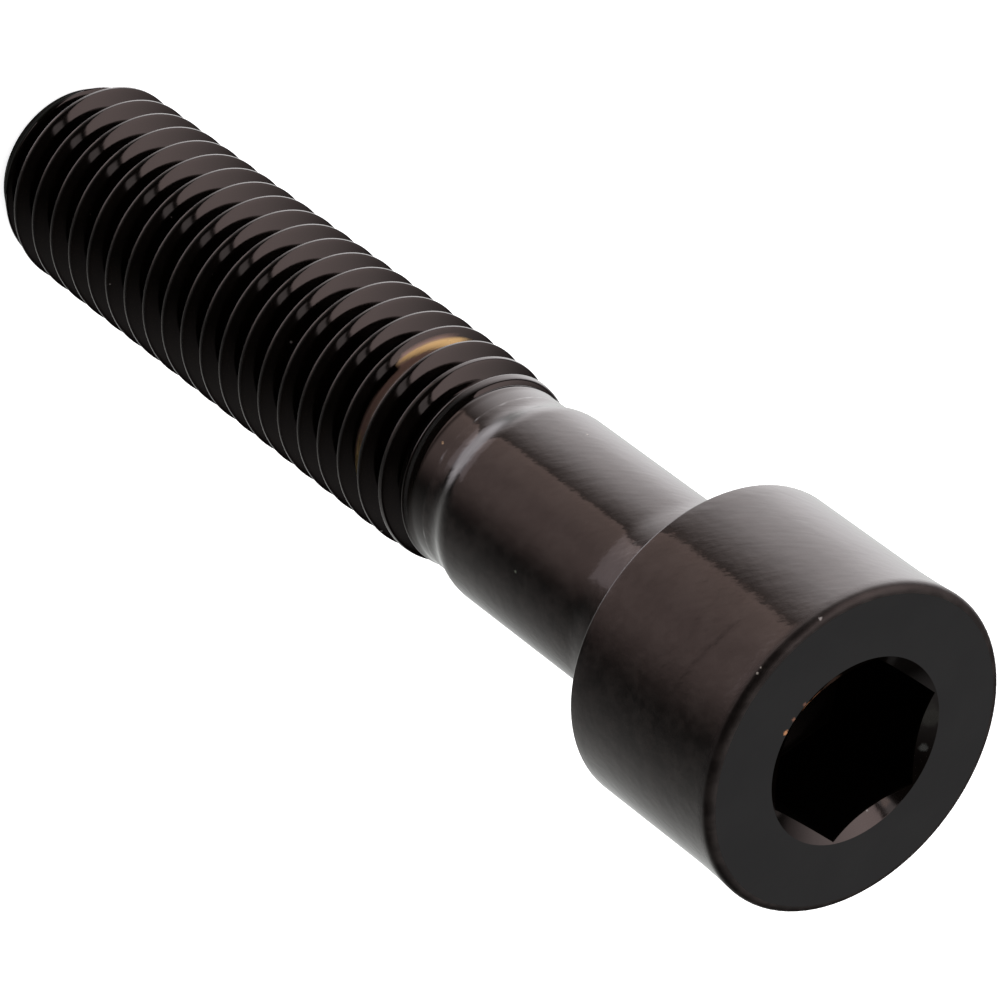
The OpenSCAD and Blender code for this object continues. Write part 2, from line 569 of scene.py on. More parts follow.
@dataclass
class Socket:
    """Pressed hexagon socket with a countersunk mouth and a conical floor.

    Attributes:
        across_flats: width of the hexagon across its flats.
        depth: depth of the straight hexagon.
        mouth_margin: how far the mouth reaches beyond the hexagon's corners.
        mouth_angle: included angle of the mouth.
        floor_angle: included angle of the conical floor.
        floor_ledge: width of the flat ledge between the flats and the floor.
        top: height of the top face.
        mouth_rows: shares of the way down the mouth at which a row lies.
        wall_rows: shares of the way down the walls.
        ledge_rows: shares of the way in over the ledge.
        floor_rows: shares of the way down the floor's cone.
    """

    across_flats: float = 6.08
    depth: float = 4.6
    mouth_margin: float = 0.05
    mouth_angle: float = 112.0
    floor_angle: float = 130.0
    floor_ledge: float = 0.15
    top: float = TOP_Z
    mouth_rows: tuple[float, ...] = (0.0, 0.03, 0.35, 0.65, 0.97, 1.0)
    wall_rows: tuple[float, ...] = (0.03, 0.12, 0.35, 0.7, 0.95, 0.99, 1.0)
    ledge_rows: tuple[float, ...] = (0.1, 0.6, 1.0)
    floor_rows: tuple[float, ...] = (0.04, 0.3, 0.65, 0.94, 1.0)

    @property
    def mouth_r(self) -> float:
        """Radius of the mouth at the top face."""
        return self.across_flats / 2 / math.cos(math.radians(30)) + self.mouth_margin

    def hexagon(self, angle: np.ndarray) -> np.ndarray:
        """Radius of the hexagon at an angle: half its width over the cosine from the flat's middle."""
        beside = (np.degrees(angle) % 60.0) - 30.0
        return self.across_flats / 2 / np.cos(np.radians(beside))

    def patches(self, angle: np.ndarray) -> list[Patch]:
        """Mouth, and hexagon walls with the floor, as two grids.

        The mouth's cone runs from a circle to where it meets the hexagon, so the lower edge of a row
        dips at the flats; the walls fall straight and the floor runs in to its cone's point.

        Args:
            angle: angle of each column in radians.

        Returns:
            The mouth and the bore below it.
        """
        wall = self.hexagon(angle)
        lean = math.tan(math.radians(self.mouth_angle / 2))
        rim = np.full(COLUMNS, self.mouth_r)
        share = np.array(self.mouth_rows)[:, None]
        cone_r = rim + share * (wall - rim)
        cone_z = self.top - (rim - cone_r) / lean
        floor_z = self.top - self.depth
        edge_z = cone_z[-1]
        fall = np.array(self.wall_rows)[:, None]
        wall_z = edge_z + fall * (floor_z - edge_z)
        wall_r = np.broadcast_to(wall, wall_z.shape)
        inner = self.across_flats / 2 - self.floor_ledge
        point_z = floor_z - inner / math.tan(math.radians(self.floor_angle / 2))
        ledge = np.array(self.ledge_rows)[:, None]
        ledge_r = wall + ledge * (inner - wall)
        ledge_z = np.full_like(ledge_r, floor_z)
        sink = np.array(self.floor_rows)[:, None]
        floor_r = np.broadcast_to(inner * (1 - sink), (len(sink), COLUMNS))
        floor_h = np.broadcast_to(floor_z + sink * (point_z - floor_z), (len(sink), COLUMNS))
        radius = np.concatenate([cone_r[-1:], wall_r, ledge_r, floor_r])
        height = np.concatenate([cone_z[-1:], wall_z, ledge_z, floor_h])
        return [Patch(cone_r, cone_z, Region.PRESSED), Patch(radius, height, Region.BORE)]


@dataclass
class Head:
    """Cylindrical head with a rim that swells a little and rounded edges.

    Attributes:
        foot_r: inner radius of the bearing face.
        mouth_r: radius of the socket's mouth.
        diameter: diameter of the straight side.
        bottom: height of the bearing face.
        top: height of the top face.
        rim_swell: how far the rim stands out.
        rim_h: height of the swollen band.
        top_edge_r: rounding of the edge round the top face.
        seat_edge_r: rounding of the edge round the bearing face.
        edge_rows: distances of the top face's outer rings from its edge.
        mouth_rows: distances of its inner rings from the socket's mouth.
        face_rings: number of rings between those.
        dull_from: distance below the top face at which the rim starts to be dull.
        dull_to: distance below the top face from which it is all dull.
        seat_steps: steps over the bearing face.
        side_steps: steps along the straight side.
        swell_steps: steps in the arc of the swollen rim.
        edge_steps: steps in the rounded edge round the top face.
        foot_steps: steps in the rounded edge round the bearing face.
    """

    foot_r: float
    mouth_r: float
    diameter: float = 12.24
    bottom: float = SEAT_Z
    top: float = TOP_Z
    rim_swell: float = 0.1
    rim_h: float = 2.7
    top_edge_r: float = 0.32
    seat_edge_r: float = 0.12
    edge_rows: tuple[float, ...] = (0.0, 0.02, 0.1, 0.3)
    mouth_rows: tuple[float, ...] = (0.1, 0.005, 0.0)
    face_rings: int = 4
    dull_from: float = 0.5
    dull_to: float = 0.25
    seat_steps: int = 5
    side_steps: int = 10
    swell_steps: int = 8
    edge_steps: int = 10
    foot_steps: int = 6

    def side(self) -> np.ndarray:
        """Radius and height from the bearing face round the head to the top face.

        The swollen rim is a wide arc that leaves the straight side without an edge.

        Returns:
            Rows of radius and height.
        """
        side = self.diameter / 2
        rise = self.rim_h - self.top_edge_r
        wide = (rise * rise + self.rim_swell**2) / (2 * self.rim_swell)
        lean = math.degrees(math.asin(rise / wide))
        seat = (side - self.seat_edge_r, self.bottom)
        seat_top = self.bottom + self.seat_edge_r
        swell_z = self.top - self.rim_h
        edge_at = (side + self.rim_swell - self.top_edge_r, self.top - self.top_edge_r)
        return np.concatenate([
            np.array([[self.foot_r, self.bottom]]),
            straight((self.foot_r, self.bottom), seat, self.seat_steps),
            arc((seat[0], seat_top), self.seat_edge_r, -90, 0, self.foot_steps),
            straight((side, seat_top), (side, swell_z), self.side_steps),
            arc((side + wide, swell_z), wide, 180, 180 - lean, self.swell_steps),
            arc(edge_at, self.top_edge_r, 0, 90, self.edge_steps),
        ])

    def face(self) -> np.ndarray:
        """Radius and height of the flat top face, from its rounded edge in to the socket's mouth.

        Returns:
            Rows of radius and height.
        """
        outer = self.diameter / 2 + self.rim_swell - self.top_edge_r - np.array(self.edge_rows)
        inner = self.mouth_r + np.array(self.mouth_rows)
        between = np.linspace(outer[-1], inner[0], self.face_rings + 2)[1:-1]
        radius = np.concatenate([outer, between, inner])
        return np.stack([radius, np.full(len(radius), self.top)], axis=1)

    def patches(self) -> list[Patch]:
        """Side with the bearing face, duller along the rim, and top face as surfaces of revolution.

        Returns:
            The two stretches.
        """
        side = rings(self.side(), Region.TURNED)
        side.traits[Trait.DULL] = smoothstep(self.dull_from, self.dull_to, self.top - side.height)
        return [side, rings(self.face(), Region.FACE)]


@dataclass
class Group:
    """Shader node group that more than one finish uses.

    Attributes:
        name: name of the group.
        inputs: names of its inputs, with their values where a finish gives none.
        outputs: names of its outputs.
        tree: the group's nodes.
        source: node that holds the inputs.
        sink: node that takes the outputs.
    """

    name: str
    inputs: dict[str, float]
    outputs: tuple[str, ...]
    tree: bpy.types.NodeTree = field(init=False)
    source: bpy.types.Node = field(init=False)
    sink: bpy.types.Node = field(init=False)

    def __post_init__(self) -> None:
        """Make the group's sockets and its two end nodes."""
        self.tree = bpy.data.node_groups.new(self.name, "ShaderNodeTree")
        for name, value in self.inputs.items():
            entry = self.tree.interface.new_socket(name, in_out="INPUT", socket_type="NodeSocketFloat")
            entry.default_value = value
        for name in self.outputs:
            self.tree.interface.new_socket(name, in_out="OUTPUT", socket_type="NodeSocketFloat")
        self.source = self.tree.nodes.new("NodeGroupInput")
        self.sink = self.tree.nodes.new("NodeGroupOutput")


class Wiring:
    """Short hand for adding nodes to one node tree."""

    def __init__(self, tree: bpy.types.NodeTree) -> None:
        """Keep the tree.

        Args:
            tree: node tree to add to.
        """
        self.tree = tree

    def add(self, kind: str, **settings: object) -> bpy.types.Node:
        """Add a node and set its properties.

        Args:
            kind: the node's type name.
            settings: properties of the node.

        Returns:
            The node.
        """
        node = self.tree.nodes.new(kind)
        for name, value in settings.items():
            setattr(node, name, value)
        return node

    def feed(self, socket: Link, value: object) -> None:
        """Link a socket to another socket, or set its constant.

        Args:
            socket: the socket that takes the value.
            value: another socket or a constant.
        """
        if isinstance(value, Link):
            self.tree.links.new(value, socket)
        else:
            socket.default_value = value

    def math(self, operation: str, *values: object) -> Link:
        """Add a Math node.

        Args:
            operation: what it works out.
            values: its inputs, sockets or constants.

        Returns:
            Its result.
        """
        node = self.add("ShaderNodeMath", operation=operation)
        for socket, value in zip(node.inputs, values):
            self.feed(socket, value)
        return node.outputs[0]

    def rise(self, value: Link, low: float, high: float) -> Link:
        """Smooth rise of a value.

        Args:
            value: the value.
            low: where the rise is 0.
            high: where it is 1; below low for a fall.

        Returns:
            The rise.
        """
        node = self.add("ShaderNodeMapRange", interpolation_type="SMOOTHSTEP")
        self.feed(node.inputs["Value"], value)
        self.feed(node.inputs["From Min"], low)
        self.feed(node.inputs["From Max"], high)
        return node.outputs["Result"]

    def mix(self, share: Link, first: object, second: object) -> Link:
        """Mix of two colours: first + share (second - first).

        Args:
            share: share of the second one.
            first: colour at share 0.
            second: colour at share 1.

        Returns:
            The mixed colour.
        """
        node = self.add("ShaderNodeMix", data_type="RGBA")
        self.feed(node.inputs["Factor"], share)
        self.feed(node.inputs[MIX_FIRST], first)
        self.feed(node.inputs[MIX_SECOND], second)
        return node.outputs[MIX_RESULT]

    def noise(self, vector: Link, scale: float, detail: float) -> Link:
        """Noise, about 0.5 on average.

        Args:
            vector: place to read it at.
            scale: how many times finer than that place's unit it is.
            detail: number of finer layers in it.

        Returns:
            Its value.
        """
        node = self.add("ShaderNodeTexNoise")
        self.feed(node.inputs["Vector"], vector)
        node.inputs["Scale"].default_value = scale
        node.inputs["Detail"].default_value = detail
        return node.outputs["Fac"]

    def place(self) -> Link:
        """Place on the screw.

        Returns:
            The place in millimetres.
        """
        node = self.add("ShaderNodeVectorMath", operation="SCALE")
        self.feed(node.inputs[0], self.add("ShaderNodeTexCoord").outputs["Object"])
        node.inputs["Scale"].default_value = 1.0 / MM
        return node.outputs[0]

    def drawn_out(self, along: Place, length: float) -> Link:
        """Place in millimetres, shrunk along one direction: p + (1 / length - 1) (p . along) along.

        Args:
            along: unit vector of the direction.
            length: how many times longer a pattern becomes along it.

        Returns:
            The place to read a pattern at.
        """
        place = self.place()
        dot = self.add("ShaderNodeVectorMath", operation="DOT_PRODUCT")
        self.feed(dot.inputs[0], place)
        dot.inputs[1].default_value = along
        back = self.add("ShaderNodeVectorMath", operation="SCALE")
        back.inputs[0].default_value = [part * (1.0 / length - 1.0) for part in along]
        self.feed(back.inputs["Scale"], dot.outputs["Value"])
        shrunk = self.add("ShaderNodeVectorMath", operation="ADD")
        self.feed(shrunk.inputs[0], place)
        self.feed(shrunk.inputs[1], back.outputs[0])
        return shrunk.outputs[0]

    def trait(self, trait: Trait) -> Link:
        """Value kept at the mesh's points."""
        return self.add("ShaderNodeAttribute", attribute_name=trait.value).outputs["Fac"]


@dataclass(frozen=True)
class TurnedLines:
    """Fine lines that run round the axis, from turning and drawing, with fine hatching over them.

    Attributes:
        lines: lines in a millimetre.
        stretch: how quickly a line changes round the axis.
        line_detail: finer layers in the lines.
        tone_scale: scale of the slower tone against that of the lines.
        tone_detail: finer layers in the tone.
        hatch_along: direction in which the coating was rubbed.
        hatch_length: how many times longer than wide the hatching's strokes are.
        hatch_lines: strokes in a millimetre.
        hatch_detail: finer layers in the hatching.
    """

    lines: float = 9.0
    stretch: float = 2.0
    line_detail: float = 4.0
    tone_scale: float = 0.23
    tone_detail: float = 2.0
    hatch_along: Place = (-0.776, 0.229, 0.587)
    hatch_length: float = 7.0
    hatch_lines: float = 4.5
    hatch_detail: float = 3.0

    def group(self) -> Group:
        """Make the lines' node group.

        Noise is read at (cos a, sin a) times the stretch and at the distance along the outline times
        the lines in a millimetre, so it is long round the axis and short across it.  The hatching is
        noise drawn out along the direction in which the coating was rubbed.

        Returns:
            Group with the lines' height, a slower tone along with it and the hatching's height.
        """
        inputs = {"Lines": self.lines, "Stretch": self.stretch}
        group = Group("turned_lines", inputs, ("Height", "Tone", "Hatch"))
        wire = Wiring(group.tree)
        source, sink = group.source.outputs, group.sink.inputs
        apart = wire.add("ShaderNodeSeparateXYZ")
        wire.feed(apart.inputs[0], wire.place())
        flat = wire.add("ShaderNodeCombineXYZ")
        wire.feed(flat.inputs[0], apart.outputs[0])
        wire.feed(flat.inputs[1], apart.outputs[1])
        unit = wire.add("ShaderNodeVectorMath", operation="NORMALIZE")
        wire.feed(unit.inputs[0], flat.outputs[0])
        round_axis = wire.add("ShaderNodeVectorMath", operation="SCALE")
        wire.feed(round_axis.inputs[0], unit.outputs[0])
        wire.feed(round_axis.inputs["Scale"], source["Stretch"])
        across = wire.add("ShaderNodeCombineXYZ")
        wire.feed(across.inputs[2], wire.math("MULTIPLY", wire.trait(Trait.LAP), source["Lines"]))
        where = wire.add("ShaderNodeVectorMath", operation="ADD")
        wire.feed(where.inputs[0], round_axis.outputs[0])
        wire.feed(where.inputs[1], across.outputs[0])
        rubbed = wire.drawn_out(self.hatch_along, self.hatch_length)
        wire.feed(sink["Height"], wire.noise(where.outputs[0], 1.0, self.line_detail))
        wire.feed(sink["Tone"], wire.noise(where.outputs[0], self.tone_scale, self.tone_detail))
        wire.feed(sink["Hatch"], wire.noise(rubbed, self.hatch_lines, self.hatch_detail))
        return group


@dataclass(frozen=True)
class DustSpecks:
    """Small pale specks that lie here and there.

    Attributes:
        density: places for a speck in a millimetre.
        share: share of these places that hold a speck.
        reach: distance from a speck's middle at which it ends, against the size of such a place.
        core: distance up to which it covers the coating.
    """

    density: float = 1.1
    share: float = 0.05
    reach: float = 0.075
    core: float = 0.03

    def group(self) -> Group:
        """Make the specks' node group: round specks in cells that are drawn by lot.

        Returns:
            Group with a mask of the specks.
        """
        group = Group("dust_specks", {"Density": self.density, "Share": self.share}, ("Mask",))
        wire = Wiring(group.tree)
        cells = wire.add("ShaderNodeTexVoronoi", feature="F1")
        wire.feed(cells.inputs["Vector"], wire.place())
        wire.feed(cells.inputs["Scale"], group.source.outputs["Density"])
        near = wire.rise(cells.outputs["Distance"], self.reach, self.core)
        lot = wire.add("ShaderNodeSeparateColor")
        wire.feed(lot.inputs[0], cells.outputs["Color"])
        chosen = wire.math("LESS_THAN", lot.outputs[0], group.source.outputs["Share"])
        wire.feed(group.sink.inputs["Mask"], wire.math("MULTIPLY", near, chosen))
        return group


@dataclass(frozen=True)
class Crease:
    """Fine slanted crease that forging left on the head's side, in millimetres and degrees.

    Its angles are counted from the one that faces the camera.

    Attributes:
        height: height above the thread end where it passes angle 0.
        fall: how much lower it lies for each degree further round.
        start: angle at which it starts.
        stop: angle at which it ends.
        fade: degrees over which it fades at both ends.
        half_width: distance from its middle to either side.
        depth: how deep it is.
    """

    height: float = 45.35
    fall: float = 0.0225
    start: float = -14.0
    stop: float = 46.0
    fade: float = 8.0
    half_width: float = 0.3
    depth: float = 0.005

    def dip(self, wire: Wiring) -> Link:
        """Depth of the crease at a place: full in its middle, nothing beyond its half width or its ends.

        Args:
            wire: wiring of the material.

        Returns:
            The depth in millimetres.
        """
        apart = wire.add("ShaderNodeSeparateXYZ")
        turn = wire.add("ShaderNodeVectorRotate", rotation_type="Z_AXIS")
        wire.feed(turn.inputs["Vector"], wire.place())
        turn.inputs["Angle"].default_value = math.radians(-FACING)
        wire.feed(apart.inputs[0], turn.outputs[0])
        beside = wire.math("DEGREES", wire.math("ARCTAN2", apart.outputs[1], apart.outputs[0]))
        course = wire.math("MULTIPLY_ADD", beside, -self.fall, self.height)
        away = wire.math("ABSOLUTE", wire.math("SUBTRACT", apart.outputs[2], course))
        line = wire.rise(away, self.half_width, 0.0)
        line = wire.math("MULTIPLY", line, wire.rise(beside, self.start, self.start + self.fade))
        line = wire.math("MULTIPLY", line, wire.rise(beside, self.stop, self.stop - self.fade))
        return wire.math("MULTIPLY", line, self.depth)


@dataclass(frozen=True)
class Mark:
    """Small place of its own colour on the coating, in millimetres: some are worn or dirty, others are
    painted highlights.

    Attributes:
        place: its middle.
        reach: distance from its middle at which it ends.
        colour: its colour.
        ragged: patches of the ragged edge's noise in the reach.
        ragged_detail: finer layers in that noise.
        outer: how far out the edge ends, in reaches, with the noise added.
        inner: how far out it starts.
    """

    place: Place
    reach: float
    colour: Colour
    ragged: float = 1.5
    ragged_detail: float = 2.0
    outer: float = 1.4
    inner: float = 0.8

    def mask(self, wire: Wiring) -> Link:
        """How much of the mark is at a place: all in its middle and nothing beyond a ragged edge.

        Args:
            wire: wiring of the material.

        Returns:
            The mask, from 0 to 1.
        """
        away = wire.add("ShaderNodeVectorMath", operation="DISTANCE")
        place = wire.place()
        wire.feed(away.inputs[0], place)
        away.inputs[1].default_value = self.place
        uneven = wire.noise(place, self.ragged / self.reach, self.ragged_detail)
        edge = wire.math("MULTIPLY_ADD", uneven, self.reach, away.outputs["Value"])
        return wire.rise(edge, self.reach * self.outer, self.reach * self.inner)


@dataclass(frozen=True)
class Coat:
    """Black coating on steel in one region: lines, specks, wear and painted highlights, in millimetres.

    Attributes:
        name: name of the material.
        colour: colour of its paler blotches.
        shade: colour of its darker blotches.
        edge: colour along the thread's crests.
        rubbed: colour where it is rubbed thin.
        bare: colour of the metal where it is worn off.
        specks: colour of the dust.
        ior: index of refraction.
        gloss: middle roughness.
        gloss_spread: how far the roughness varies with the lines.
        tint: colour of its reflections.
        lines: turned lines in a millimetre.
        stretch: how quickly a line changes round the axis.
        line_depth: depth of the lines.
        grain: waves of its uneven surface in a millimetre.
        grain_detail: finer layers in the grain.
        grain_depth: depth of the grain.
        blotch: blotches in a millimetre.
        blotch_detail: finer layers in the blotches.
        blotch_from: noise at which a blotch is darkest.
        blotch_span: rise of the noise to where it is palest.
        speck_share: share of the places for a speck that hold one.
        hatch_depth: depth of the hatching.
        hatch_tone: how much the hatching adds to the blotches' noise.
        rub_rough: roughness added where it is rubbed thin.
        dull_rough: roughness added where it is dull.
        bare_rough: roughness added where it is worn off.
        speck_rough: roughness added by the dust.
        bare_metal: how metallic it is where it is worn off.
        crease: crease in its surface.
        marks: its small worn or dirty places, and its painted highlights.
    """

    name: str
    colour: Colour
    shade: Colour
    edge: Colour = (0.02, 0.0193, 0.0187)
    rubbed: Colour = (0.4, 0.25, 0.2)
    bare: Colour = (0.9, 0.62, 0.27)
    specks: Colour = (0.2, 0.19, 0.18)
    ior: float = 1.65
    gloss: float = 0.09
    gloss_spread: float = 0.05
    tint: Colour = (1.0, 0.88, 0.84)
    lines: float = 9.0
    stretch: float = 2.0
    line_depth: float = 0.0005
    grain: float = 1.8
    grain_detail: float = 2.0
    grain_depth: float = 0.011
    blotch: float = 1.2
    blotch_detail: float = 5.0
    blotch_from: float = 0.38
    blotch_span: float = 0.28
    speck_share: float = 0.05
    hatch_depth: float = 0.0
    hatch_tone: float = 0.0
    rub_rough: float = 0.15
    dull_rough: float = 0.35
    bare_rough: float = 0.12
    speck_rough: float = 0.4
    bare_metal: float = 0.6
    crease: Crease | None = None
    marks: tuple[Mark, ...] = ()

    def material(self, lines: Group, specks: Group) -> bpy.types.Material:
        """Make the coating's material.

        Args:
            lines: group of the turned lines.
            specks: group of the dust.

        Returns:
            The material.
        """
        material = bpy.data.materials.new(self.name)
        material.use_nodes = True
        wire = Wiring(material.node_tree)
        shader = material.node_tree.nodes["Principled BSDF"]
        shader.inputs["IOR"].default_value = self.ior
        shader.inputs["Specular Tint"].default_value = (*self.tint, 1.0)
        turned = wire.add("ShaderNodeGroup", node_tree=lines.tree)
        turned.inputs["Lines"].default_value = self.lines
        turned.inputs["Stretch"].default_value = self.stretch
        dusty = wire.add("ShaderNodeGroup", node_tree=specks.tree)
        dusty.inputs["Share"].default_value = self.speck_share
        dust = dusty.outputs["Mask"]
        rub, bare = wire.trait(Trait.RUB), wire.trait(Trait.BARE)
        wire.feed(shader.inputs["Base Color"], self.tone(wire, turned.outputs["Hatch"], rub, bare, dust))
        least = self.gloss - self.gloss_spread / 2
        rough = wire.math("MULTIPLY_ADD", turned.outputs["Tone"], self.gloss_spread, least)
        rough = wire.math("MULTIPLY_ADD", rub, self.rub_rough, rough)
        rough = wire.math("MULTIPLY_ADD", wire.trait(Trait.DULL), self.dull_rough, rough)
        rough = wire.math("MULTIPLY_ADD", bare, self.bare_rough, rough)
        rough = wire.math("MULTIPLY_ADD", dust, self.speck_rough, rough)
        wire.feed(shader.inputs["Roughness"], rough)
        wire.feed(shader.inputs["Metallic"], wire.math("MULTIPLY", bare, self.bare_metal))
        bump = wire.add("ShaderNodeBump")
        bump.inputs["Strength"].default_value = 1.0
        bump.inputs["Distance"].default_value = MM
        wire.feed(bump.inputs["Height"], self.relief(wire, turned))
        wire.feed(shader.inputs["Normal"], bump.outputs["Normal"])
        return material

    def tone(self, wire: Wiring, hatch: Link, rub: Link, bare: Link, dust: Link) -> Link:
        """Colour at a place: the blotches, then over them the edges, the wear, the dust and the marks.

        Args:
            wire: wiring of the material.
            hatch: height of the hatching.
            rub: how much the coating is rubbed.
            bare: how much it is worn off.
            dust: mask of the dust.

        Returns:
            The colour.
        """
        cloud = wire.noise(wire.place(), self.blotch, self.blotch_detail)
        cloud = wire.math("MULTIPLY_ADD", hatch, self.hatch_tone, cloud)
        least = self.blotch_from + self.hatch_tone / 2
        pale = wire.rise(cloud, least, least + self.blotch_span)
        tone = wire.mix(pale, (*self.shade, 1.0), (*self.colour, 1.0))
        edge = wire.trait(Trait.EDGE)
        layers = [(edge, self.edge), (rub, self.rubbed), (bare, self.bare), (dust, self.specks)]
        # Marks: worn and dirty places, and painted highlights
        layers += [(mark.mask(wire), mark.colour) for mark in self.marks]
        for mask, colour in layers:
            tone = wire.mix(mask, tone, (*colour, 1.0))
        return tone

    def relief(self, wire: Wiring, turned: bpy.types.Node) -> Link:
        """Height of the surface at a place: grain, turned lines and hatching, less the crease.

        Args:
            wire: wiring of the material.
            turned: node of the turned lines.

        Returns:
            The height in millimetres.
        """
        uneven = wire.noise(wire.place(), self.grain, self.grain_detail)
        height = wire.math("MULTIPLY", uneven, self.grain_depth)
        height = wire.math("MULTIPLY_ADD", turned.outputs["Height"], self.line_depth, height)
        height = wire.math("MULTIPLY_ADD", turned.outputs["Hatch"], self.hatch_depth, height)
        if self.crease is None:
            return height
        return wire.math("SUBTRACT", height, self.crease.dip(wire))


# Pale grey of a dust speck on the shank, and of painted highlights on the head's rim
DUST_AND_GLINT: Colour = (0.4, 0.37, 0.33)

COATS: dict[Region, Coat] = {
    Region.TURNED: Coat(
        "turned_black_coat", (0.0145, 0.0117, 0.0107), (0.005, 0.0038, 0.0034),
        grain_depth=0.009, hatch_depth=0.006, hatch_tone=0.5, crease=Crease(),
        # The first three marks are painted highlights, pale specks on the rounded rim; the last two are
        # a pale dust speck and a greenish speck on the shank
        marks=(
            Mark((2.6, -5.64, 47.56), 0.07, DUST_AND_GLINT),
            Mark((2.4, -5.73, 47.52), 0.05, DUST_AND_GLINT),
            Mark((-0.13, -6.14, 47.69), 0.09, (0.3, 0.28, 0.27)),
            Mark((-1.95, -3.34, 31.49), 0.07, DUST_AND_GLINT),
            Mark((3.29, -2.04, 33.65), 0.08, (0.12, 0.14, 0.11)),
        ),
    ),
    Region.ROLLED: Coat(
        "rolled_black_coat", (0.0028, 0.0018, 0.0013), (0.0018, 0.0011, 0.0008),
        gloss=0.08, grain_depth=0.0008,
        marks=(Mark((1.56, -3.15, 27.52), 0.1, (0.75, 0.48, 0.27)),),
    ),
    Region.PRESSED: Coat(
        "pressed_black_coat", (0.0016, 0.0009, 0.0006), (0.001, 0.0006, 0.0004),
        gloss=0.1, ior=1.8, grain_depth=0.003,
        # The marks on the mouth's cone are painted highlights: a dim brown patch with two copper ones on
        # the near side, and paler ones on the far side
        marks=(
            Mark((0.1, -3.2, 47.6), 0.6, (0.05, 0.03, 0.022)),
            Mark((0.75, -3.07, 47.57), 0.32, (0.2, 0.09, 0.05)),
            Mark((1.25, -3.06, 47.65), 0.35, (0.3, 0.14, 0.07)),
            Mark((-2.6, 2.02, 47.65), 0.22, (0.035, 0.036, 0.034)),
            Mark((-0.67, 3.13, 47.6), 0.25, (0.03, 0.018, 0.013)),
            Mark((-3.18, 0.92, 47.65), 0.7, (0.014, 0.0142, 0.012)),
        ),
    ),
    Region.BORE: Coat(
        "bore_black_coat", (0.0012, 0.0009, 0.0007), (0.001, 0.0007, 0.0005),
        gloss=0.4, ior=1.15, speck_share=0.0,
    ),
    Region.END: Coat(
        "end_black_coat", (0.005, 0.005, 0.003), (0.003, 0.003, 0.0015), gloss=0.5, ior=1.02,
    ),
    Region.FACE: Coat(
        "face_black_coat", (0.003, 0.0027, 0.0026), (0.0015, 0.0012, 0.0012),
        tint=(1.0, 0.96, 0.95), grain_depth=0.004, blotch=0.4, speck_share=0.0,
        # The marks are a painted copper highlight along the edge of the socket's mouth
        marks=(
            Mark((2.33, -2.77, 47.8), 0.14, (0.4, 0.18, 0.08)),
            Mark((1.92, -3.07, 47.8), 0.12, (0.16, 0.07, 0.04)),
            Mark((1.36, -3.36, 47.8), 0.1, (0.12, 0.055, 0.035)),
        ),
    ),
}


@dataclass
class CapScrew:
    """The whole screw as one closed mesh.

    Attributes:
        thread: the rolled thread.
        shank: the plain shank.
        socket: the hexagon socket.
        head: the head, which starts at the shank's flare and ends at the socket's mouth.
        name: name of the piece.
    """

    thread: Thread = field(default_factory=Thread)
    shank: Shank = field(default_factory=Shank)
    socket: Socket = field(default_factory=Socket)
    head: Head = field(init=False)
    name: str = "cap_screw_body"

    def __post_init__(self) -> None:
        """Fit the head to the shank and the socket."""
        self.head = Head(self.shank.foot_r, self.socket.mouth_r)

    def patches(self, angle: np.ndarray) -> list[Patch]:
        """Stretches of the surface from the middle of the thread end to the bottom of the socket.

        Args:
            angle: angle of each column in radians.

        Returns:
            The stretches in order.
        """
        return [
            self.thread.end(),
            self.thread.patch(angle),
            self.shank.patch(),
            *self.head.patches(),
            *self.socket.patches(angle),
        ]

    def build(self) -> bpy.types.Object:
        """Join the stretches into one closed mesh, dress it and set it on its CAD body.

        Rings that two stretches share, points on the axis and rows that stop at an end ring fall
        together, so equal points are made one; a face that loses a corner becomes a triangle.

        Returns:
            The screw's object.
        """
        angle = np.arange(COLUMNS) * math.tau / COLUMNS
        points, quads, regions = [], [], []
        traits: dict[Trait, list[np.ndarray]] = {trait: [] for trait in Trait}
        count = 0
        for patch in self.patches(angle):
            grid = patch.quads() + count
            quads.append(grid)
            regions.append(np.full(len(grid), patch.region))
            points.append(patch.points(angle))
            for trait, values in traits.items():
                values.append(patch.trait(trait))
            count += patch.radius.size
        every = np.concatenate(points)
        key = np.round(every, MERGE_DECIMALS)
        _, first, where = np.unique(key, axis=0, return_index=True, return_inverse=True)
        faces = where.reshape(-1)[np.concatenate(quads)]
        region = np.concatenate(regions)
        end = self.thread.on_chamfer(every[first])[faces].all(axis=1)
        region = np.where((region == Region.ROLLED) & end, Region.END, region)
        mesh = self.mesh(every[first] * MM, faces, region)
        for trait, values in traits.items():
            layer = mesh.attributes.new(trait.value, "FLOAT", "POINT")
            layer.data.foreach_set("value", np.concatenate(values)[first].astype(np.float32))
        screw = bpy.data.objects.new(self.name, mesh)
        bpy.context.scene.collection.objects.link(screw)
        lines, specks = TurnedLines().group(), DustSpecks().group()
        for part in Region:
            mesh.materials.append(COATS[part].material(lines, specks))
        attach(screw, BODY)
        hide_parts(CAD_NODE)
        return screw

    def mesh(self, points: np.ndarray, faces: np.ndarray, region: np.ndarray) -> bpy.types.Mesh:
        """Put points and faces into a mesh, leaving out faces that have shrunk to a line.

        Args:
            points: corners in metres.
            faces: four corner numbers a face, two of them equal in a triangle.
            region: finish of each face.

        Returns:
            The smooth mesh.
        """
        same = faces == np.roll(faces, -1, axis=1)
        whole = ~same.any(axis=1)
        three = same.sum(axis=1) == 1
        keep = ~same[three]
        triangles = faces[three][keep].reshape(-1, 3)
        mesh = bpy.data.meshes.new(self.name)
        mesh.from_pydata(points, [], faces[whole].tolist() + triangles.tolist())
        order = np.concatenate([region[whole], region[three]]).astype(np.int32)
        mesh.polygons.foreach_set("material_index", order)
        mesh.polygons.foreach_set("use_smooth", np.ones(len(order), dtype=bool))
        mesh.update()
        return mesh


class Outline(Enum):
    """Shape of a studio light seen from the screw."""

    ROUND = "round"
    OBLONG = "oblong"


